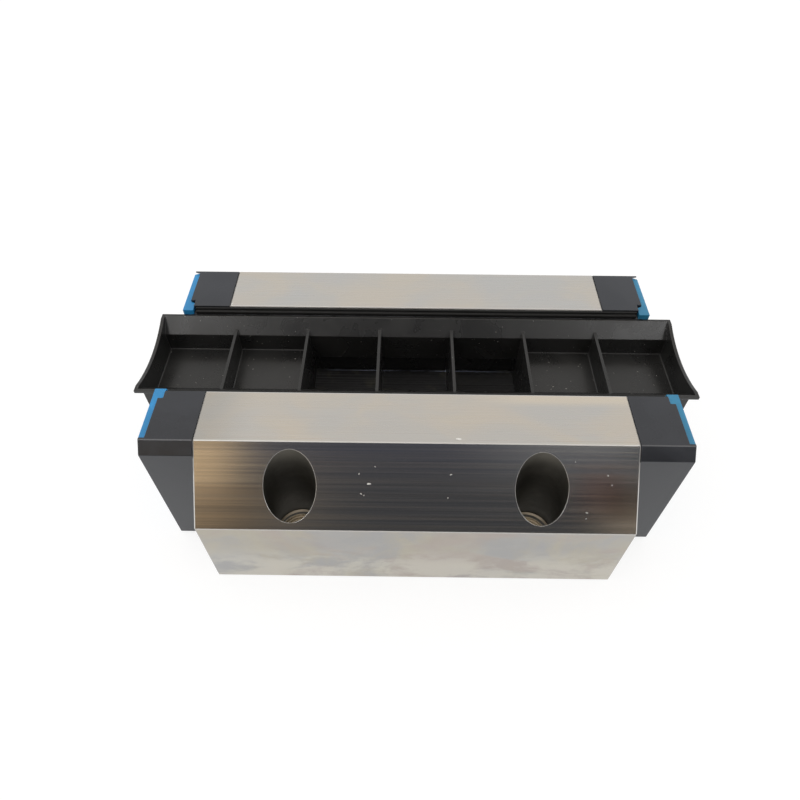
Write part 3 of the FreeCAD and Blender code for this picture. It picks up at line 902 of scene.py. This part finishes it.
class RAILBEARING_OT_seals(bpy.types.Operator):
    """Side seals along the legs"""

    bl_idname = "rail_bearing.seals"
    bl_label = "Side seals"

    def execute(self, context):
        finish, detail = settings(context)
        rubber = moulded_plastic(
            "Seal rubber", finish.seal, grain=1800.0, roughness=(0.50, 0.66), gloss=1.36)
        for leg in ("near", "far"):
            node = f"side_seal_{leg}"
            piece = whole_copy(node, f"rubber_seal_{leg}")
            round_edges(piece, detail.seal_edge, lambda edge: edge.calc_length() > 20 * MM)
            smooth(piece)
            dress(piece, rubber, node=node)
        return {"FINISHED"}


def socket_screw(radius, head, reach, detail):
    """Screw or plug along X with a hexagon socket, its outer end at the origin."""
    cylinder = bpy.ops.mesh.primitive_cylinder_add
    along = (0, math.pi / 2, 0)
    piece = fresh(cylinder, vertices=48, radius=radius, depth=head, location=(-head / 2, 0, 0), rotation=along)
    bpy.ops.object.transform_apply(location=True, rotation=True, scale=True)
    if reach > head:
        pick(piece, "FACE", lambda face: face.normal.x < -0.9)
        bpy.ops.mesh.inset(thickness=radius - detail.shank_radius)
        bpy.ops.mesh.extrude_region_move(TRANSFORM_OT_translate={"value": (head - reach, 0, 0)})
        leave()
    pick(piece, "EDGE", lambda edge: is_sharp(edge) and middle(edge).x > -head / 4)
    bpy.ops.mesh.bevel(offset=detail.head_round, segments=3, affect="EDGES")
    leave()
    cutter = fresh(
        cylinder, vertices=6, radius=detail.socket_radius, depth=2 * detail.socket_depth, rotation=along)
    select_only(piece)
    hollow = piece.modifiers.new("Socket", "BOOLEAN")
    hollow.operation = "DIFFERENCE"
    hollow.solver = "EXACT"
    hollow.object = cutter
    bpy.ops.object.modifier_apply(modifier=hollow.name)
    bpy.data.objects.remove(cutter)
    smooth(piece)
    return piece


def facing_out(box):
    """Place of a piece modelled along X whose outer end lies on a box's outer end."""
    low, high = box
    y, z = (low.y + high.y) / 2, (low.z + high.z) / 2
    if high.x > 0:
        return Matrix.Translation((high.x, y, z))
    return Matrix.Translation((low.x, y, z)) @ Matrix.Rotation(math.pi, 4, "Z")


class RAILBEARING_OT_screws(bpy.types.Operator):
    """Cap screws and lubrication plugs with hexagon sockets"""

    bl_idname = "rail_bearing.screws"
    bl_label = "Screws and plugs"

    def execute(self, context):
        finish, detail = settings(context)
        black = bare_metal("Black oxide", finish.screw, 0.38, (1500, 1500, 1500))
        kinds = (("cap_screws", "socket_screws", True), ("port_plugs", "socket_plugs", False))
        for node, name, has_shank in kinds:
            boxes = islands(node)
            low, high = boxes[0]
            radius = (high.z - low.z) / 2
            reach = high.x - low.x
            head = detail.head_height if has_shank else reach
            model = socket_screw(radius, head, reach, detail)
            piece = copies(model, name, [facing_out(box) for box in boxes])
            dress(piece, black, node=node)
        return {"FINISHED"}


class RAILBEARING_OT_rollers(bpy.types.Operator):
    """Round rollers of the four loaded rows"""

    bl_idname = "rail_bearing.rollers"
    bl_label = "Rollers"

    def execute(self, context):
        finish, detail = settings(context)
        steel = bare_metal("Roller steel", finish.roller, 0.12, (400, 2400, 2400))
        ends = detail.roller_length / 3
        for row, rise in (("lower", 1), ("upper", -1)):
            for leg, side in (("near", -1), ("far", 1)):
                node = f"roller_row_{row}_{leg}"
                model = fresh(
                    bpy.ops.mesh.primitive_cylinder_add, vertices=24, radius=detail.roller_radius,
                    depth=detail.roller_length)
                pick(model, "EDGE", lambda edge: is_sharp(edge) and abs(middle(edge).z) > ends)
                bpy.ops.mesh.bevel(offset=detail.roller_round, segments=2, affect="EDGES")
                leave()
                lie = Matrix.Rotation(-LEAN * side * rise, 4, "X")
                places = [Matrix.Translation((low + high) / 2) @ lie for low, high in islands(node)]
                piece = copies(model, f"round_rollers_{row}_{leg}", places)
                smooth(piece)
                dress(piece, steel, node=node)
        return {"FINISHED"}


class RAILBEARING_OT_guides(bpy.types.Operator):
    """Finish of the inner guides, tubes and retaining strips"""

    bl_idname = "rail_bearing.guides"
    bl_label = "Guides and strips"

    def execute(self, context):
        plastic = moulded_plastic("Guide plastic", context.scene.rail_bearing_finish.guide)
        for node in NODES:
            if node.startswith(("return_", "lower_strip", "upper_strip", "middle_strip")):
                repaint(node, plastic)
        return {"FINISHED"}


class RAILBEARING_OT_stage(bpy.types.Operator):
    """Pale floor, soft light and the camera"""

    bl_idname = "rail_bearing.stage"
    bl_label = "Stage"

    def execute(self, context):
        scene = context.scene
        stage = scene.rail_bearing_stage
        scene.view_settings.view_transform = "Standard"
        self.floor(stage)
        self.room(scene, stage)
        self.lamps(scene, stage)
        self.camera(scene, stage)
        return {"FINISHED"}

    def floor(self, stage):
        """A wide pale floor: white to the camera, shaded by the block."""
        under = (0, 0, CAD_LOW.z - 0.02 * MM)
        floor = fresh(bpy.ops.mesh.primitive_plane_add, size=FLOOR_SIZE, location=under)
        floor.name = "stage_floor"
        material, tree, shader = new_material("Pale floor")
        mottle = noise(tree, (9, 9, 9), detail=3)
        paint = blend(tree, mottle, stage.floor, scaled(stage.floor, 0.985))
        tree.links.new(paint, shader.inputs["Base Color"])
        shader.inputs["Roughness"].default_value = 0.55
        path = add(tree, "ShaderNodeLightPath").outputs
        seen = maths(tree, "MAXIMUM", path["Is Camera Ray"], path["Is Transmission Ray"])
        share = maths(tree, "MULTIPLY", seen, stage.seen_white)
        share = maths(tree, "MULTIPLY_ADD", path["Is Glossy Ray"], stage.gloss_white, share)
        white = add(tree, "ShaderNodeEmission", {"Color": (1, 1, 1, 1), "Strength": stage.white})
        mix = add(tree, "ShaderNodeMixShader", {0: share, 1: shader.outputs[0], 2: white.outputs[0]})
        tree.links.new(mix.outputs[0], tree.nodes["Material Output"].inputs["Surface"])
        floor.data.materials.append(material)

    def room(self, scene, stage):
        """A pale room that is dark behind the camera, between two soft boxes and right of a warm patch."""
        world = scene.world or bpy.data.worlds.new("Room")
        scene.world = world
        world.use_nodes = True
        tree = world.node_tree
        tree.nodes.clear()
        # A way from the block to the camera's side is told by how far it goes sideways and up, beside ahead.
        way = over(tree, "Generated")
        ahead = maths(tree, "MAXIMUM", maths(tree, "MULTIPLY", way["Y"], -1.0), 0.02)
        sideways = maths(tree, "DIVIDE", way["X"], ahead)
        rise = maths(tree, "DIVIDE", way["Z"], ahead)
        wide = maths(tree, "ABSOLUTE", sideways)
        by_camera = span(tree, ahead, 0.15, 0.35)

        # The pale room, its ceiling, two soft boxes and a warm patch on the left
        room = blend(
            tree, span(tree, way["Z"], 0.66, 0.80), grey(stage.room), scaled((1.0, 0.95, 0.89), stage.room))
        boxes = patch(
            tree, by_camera, (wide, 0.40, 0.52), (wide, 1.15, 0.9), (rise, 0.90, 1.01), (rise, 1.4, 1.2))
        room = blend(tree, boxes, room, grey(stage.soft_box))
        warm = blend(tree, span(tree, rise, 0.600, 0.622), scaled(stage.warm, 0.36), stage.warm)
        warm = blend(tree, span(tree, rise, 0.655, 0.690), warm, scaled(stage.warm, 0.60))
        warm_side = patch(
            tree, by_camera, (sideways, -0.15, -0.30), (sideways, -1.5, -0.7), (rise, 0.92, 0.80))
        room = blend(tree, warm_side, room, warm)

        # The shaded side: bluish high up, hazy on the right, with a low glow on the left
        dark = blend(
            tree, span(tree, rise, 0.63, 0.70), grey(stage.shade), scaled((1.3, 1.32, 1.58), stage.shade))
        haze = patch(tree, (sideways, 0.08, 0.30), (rise, 0.63, 0.69), (sideways, 0.50, 0.46))
        dark = blend(tree, haze, dark, grey(stage.haze))
        glow = patch(tree, (sideways, -0.08, -0.30), (rise, 0.63, 0.60), (rise, 0.535, 0.565, 0.25, 0.92))
        dark = blend(tree, glow, dark, scaled(stage.warm, 0.32))
        dim = patch(tree, (sideways, 0.24, 0.34), (rise, 0.65, 0.61), (rise, 0.545, 0.565))
        dark = blend(tree, dim, dark, scaled((0.45, 0.42, 0.38), stage.shade))
        width = stage.shade_width
        low = span(tree, rise, 0.92, 0.74)
        rightward = maths(tree, "MULTIPLY_ADD", low, -0.9, sideways)
        shaded = patch(
            tree, by_camera, (sideways, -width * 1.04, -width * 0.80), (rightward, width * 1.15, width * 0.9),
            (rise, 1.7, 1.35))
        room = blend(tree, shaded, room, dark)

        # A warm streak low on the right, and what the slopes of the end caps mirror
        corner = patch(
            tree, by_camera, (sideways, 0.33, 0.40), (sideways, 0.56, 0.50), (rise, 0.546, 0.534),
            (rise, 0.50, 0.515))
        room = blend(tree, corner, room, scaled(stage.warm, 1.2))
        by_caps = patch(
            tree, by_camera, (wide, 0.44, 0.46), (wide, 0.95, 0.75), (rise, 0.675, 0.70), (rise, 0.98, 0.90))
        recess = blend(tree, span(tree, sideways, -0.1, 0.1), stage.recess_left, stage.recess_right)
        room = blend(tree, by_caps, room, recess)
        path = add(tree, "ShaderNodeLightPath").outputs
        room = blend(tree, path["Is Camera Ray"], room, (1.0, 1.0, 1.0))
        light = add(tree, "ShaderNodeBackground", {"Color": room, "Strength": 1.0})
        out = add(tree, "ShaderNodeOutputWorld")
        tree.links.new(light.outputs[0], out.inputs["Surface"])

    def lamps(self, scene, stage):
        """One wide soft lamp over the block."""
        data = bpy.data.lights.new("Soft lamp", "AREA")
        data.energy = stage.lamp
        data.size = stage.lamp_size
        lamp = bpy.data.objects.new("Soft lamp", data)
        lamp.location = stage.lamp_place
        lamp.rotation_euler = (Vector(stage.lamp_aim) - lamp.location).to_track_quat("-Z", "Y").to_euler()
        scene.collection.objects.link(lamp)

    def camera(self, scene, stage):
        """The camera at the photo's angle."""
        data = bpy.data.cameras.new("Camera")
        data.sensor_width = 36.0
        data.lens = stage.focal_pixels * data.sensor_width / IMAGE_SIZE
        data.shift_x = (IMAGE_SIZE / 2 - stage.centre_pixel) / IMAGE_SIZE
        data.clip_start = 0.01
        camera = bpy.data.objects.new("Camera", data)
        camera.location = stage.camera_place
        camera.rotation_euler = stage.camera_turn
        scene.collection.objects.link(camera)
        scene.camera = camera


class RAILBEARING_PT_pieces(bpy.types.Panel):
    """Pieces of the rail bearing and the sizes that shape them"""

    bl_idname = "RAILBEARING_PT_pieces"
    bl_label = "Rail Bearing"
    bl_space_type = "VIEW_3D"
    bl_region_type = "UI"
    bl_category = "Rail Bearing"

    def draw(self, context):
        layout = self.layout
        for operator in OPERATORS:
            layout.operator(operator.bl_idname)
        scene = context.scene
        for group in (scene.rail_bearing_finish, scene.rail_bearing_detail, scene.rail_bearing_stage):
            box = layout.box()
            for name in group.__annotations__:
                box.prop(group, name)


OPERATORS = [
    RAILBEARING_OT_steel_block, RAILBEARING_OT_threads, RAILBEARING_OT_nicks, RAILBEARING_OT_end_caps,
    RAILBEARING_OT_wipers, RAILBEARING_OT_transport_rail, RAILBEARING_OT_seals, RAILBEARING_OT_screws,
    RAILBEARING_OT_rollers, RAILBEARING_OT_guides, RAILBEARING_OT_stage,
]
GROUPS = {
    "rail_bearing_finish": RailBearingFinish,
    "rail_bearing_detail": RailBearingDetail,
    "rail_bearing_stage": RailBearingStage,
}


def register():
    for group in GROUPS.values():
        bpy.utils.register_class(group)
    for name, group in GROUPS.items():
        setattr(bpy.types.Scene, name, PointerProperty(type=group))
    for operator in OPERATORS:
        bpy.utils.register_class(operator)
    bpy.utils.register_class(RAILBEARING_PT_pieces)


def unregister():
    bpy.utils.unregister_class(RAILBEARING_PT_pieces)
    for operator in reversed(OPERATORS):
        bpy.utils.unregister_class(operator)
    for name in GROUPS:
        delattr(bpy.types.Scene, name)
    for group in reversed(list(GROUPS.values())):
        bpy.utils.unregister_class(group)


def main():
    register()
    bpy.ops.rail_bearing.steel_block()
    bpy.ops.rail_bearing.threads()
    bpy.ops.rail_bearing.nicks()
    bpy.ops.rail_bearing.end_caps()
    bpy.ops.rail_bearing.wipers()
    bpy.ops.rail_bearing.transport_rail()
    bpy.ops.rail_bearing.seals()
    bpy.ops.rail_bearing.screws()
    bpy.ops.rail_bearing.rollers()
    bpy.ops.rail_bearing.guides()
    bpy.ops.rail_bearing.stage()


if __name__ == "__main__":
    main()
